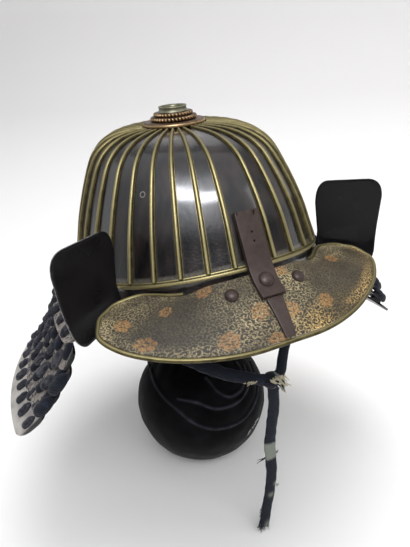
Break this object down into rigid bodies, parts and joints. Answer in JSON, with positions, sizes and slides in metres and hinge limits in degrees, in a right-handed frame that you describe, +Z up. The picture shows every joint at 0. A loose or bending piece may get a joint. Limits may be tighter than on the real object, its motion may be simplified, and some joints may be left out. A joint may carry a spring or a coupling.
{
  "type": "kabuto samurai helmet on its display stand",
  "caption": "Ribbed samurai helmet bowl with visor, crest sleeve, turned-back cheek plates, laced neck guard and chin strap, resting on a round velvet stand.",
  "frame": {"origin": "middle of the stand's round foot, on the surface it stands on", "axes": "+Z up, the helmet faces -Y, +X towards the wearer's left"},
  "size_m": [0.3886, 0.3641, 0.3699],
  "materials": {
    "black_lacquer": "worn glossy urushi lacquer over iron, with fine pits near the rim",
    "aged_brass": "olive patina, rubbed bright along the crest of each rib",
    "copper_brass": "gilt copper worn to brown, with milled rope edges",
    "verdigris_brass": "grey-green patina",
    "stencilled_leather": "smoked grey-brown leather stencilled with gold scrolls and copper flowers",
    "russet_iron": "smooth russet brown iron",
    "laced_lames": "lacquered lames, rows of dark navy lacing over a worn pale ground",
    "navy_cotton": "worn navy braid with a faded patch and frayed end",
    "black_velvet": "black velvet gathered over a round form",
    "black_wood": "black stained turned wood"
  },
  "bodies": {
    "root": {"bowl_front": "black_lacquer", "bowl_left": "black_lacquer", "bowl_right": "black_lacquer", "rib_left_01": "aged_brass", "rib_right_01": "aged_brass", "rib_left_02": "aged_brass", "rib_right_02": "aged_brass", "rib_left_03": "aged_brass", "rib_right_03": "aged_brass", "rib_left_04": "aged_brass", "rib_right_04": "aged_brass", "rib_left_05": "aged_brass", "rib_right_05": "aged_brass", "rib_left_06": "aged_brass", "rib_right_06": "aged_brass", "rib_left_07": "aged_brass", "rib_right_07": "aged_brass", "rib_left_08": "aged_brass", "rib_right_08": "aged_brass", "rib_left_09": "aged_brass", "rib_right_09": "aged_brass", "rib_left_10": "aged_brass", "rib_right_10": "aged_brass", "rib_left_11": "aged_brass", "rib_right_11": "aged_brass", "rib_left_12": "aged_brass", "rib_right_12": "aged_brass", "rib_left_13": "aged_brass", "rib_right_13": "aged_brass", "rib_left_14": "aged_brass", "rib_right_14": "aged_brass", "rib_left_15": "aged_brass", "rib_right_15": "aged_brass", "bowl_rim_band": "aged_brass", "lower_band": "black_lacquer", "top_flange": "copper_brass", "top_lower_ring": "copper_brass", "top_upper_ring": "copper_brass", "top_collar": "verdigris_brass", "visor_plate": "stencilled_leather", "visor_piping": "aged_brass", "visor_rivet_left": "russet_iron", "visor_rivet_right": "russet_iron", "crest_holder": "russet_iron", "holder_rivet": "russet_iron", "holder_tongue": "russet_iron", "cheek_plate_left": "black_lacquer", "cheek_plate_right": "black_lacquer", "neck_lame_1": "laced_lames", "neck_lame_2": "laced_lames", "neck_lame_3": "laced_lames", "neck_lame_4": "laced_lames", "neck_lame_5": "laced_lames", "chin_strap_right": "navy_cotton", "chin_strap_left": "navy_cotton", "chin_strap_knot": "navy_cotton", "chin_strap_tail": "navy_cotton", "stand_ball": "black_velvet", "stand_post": "black_wood", "stand_pad": "black_velvet"}
  },
  "joints": []
}
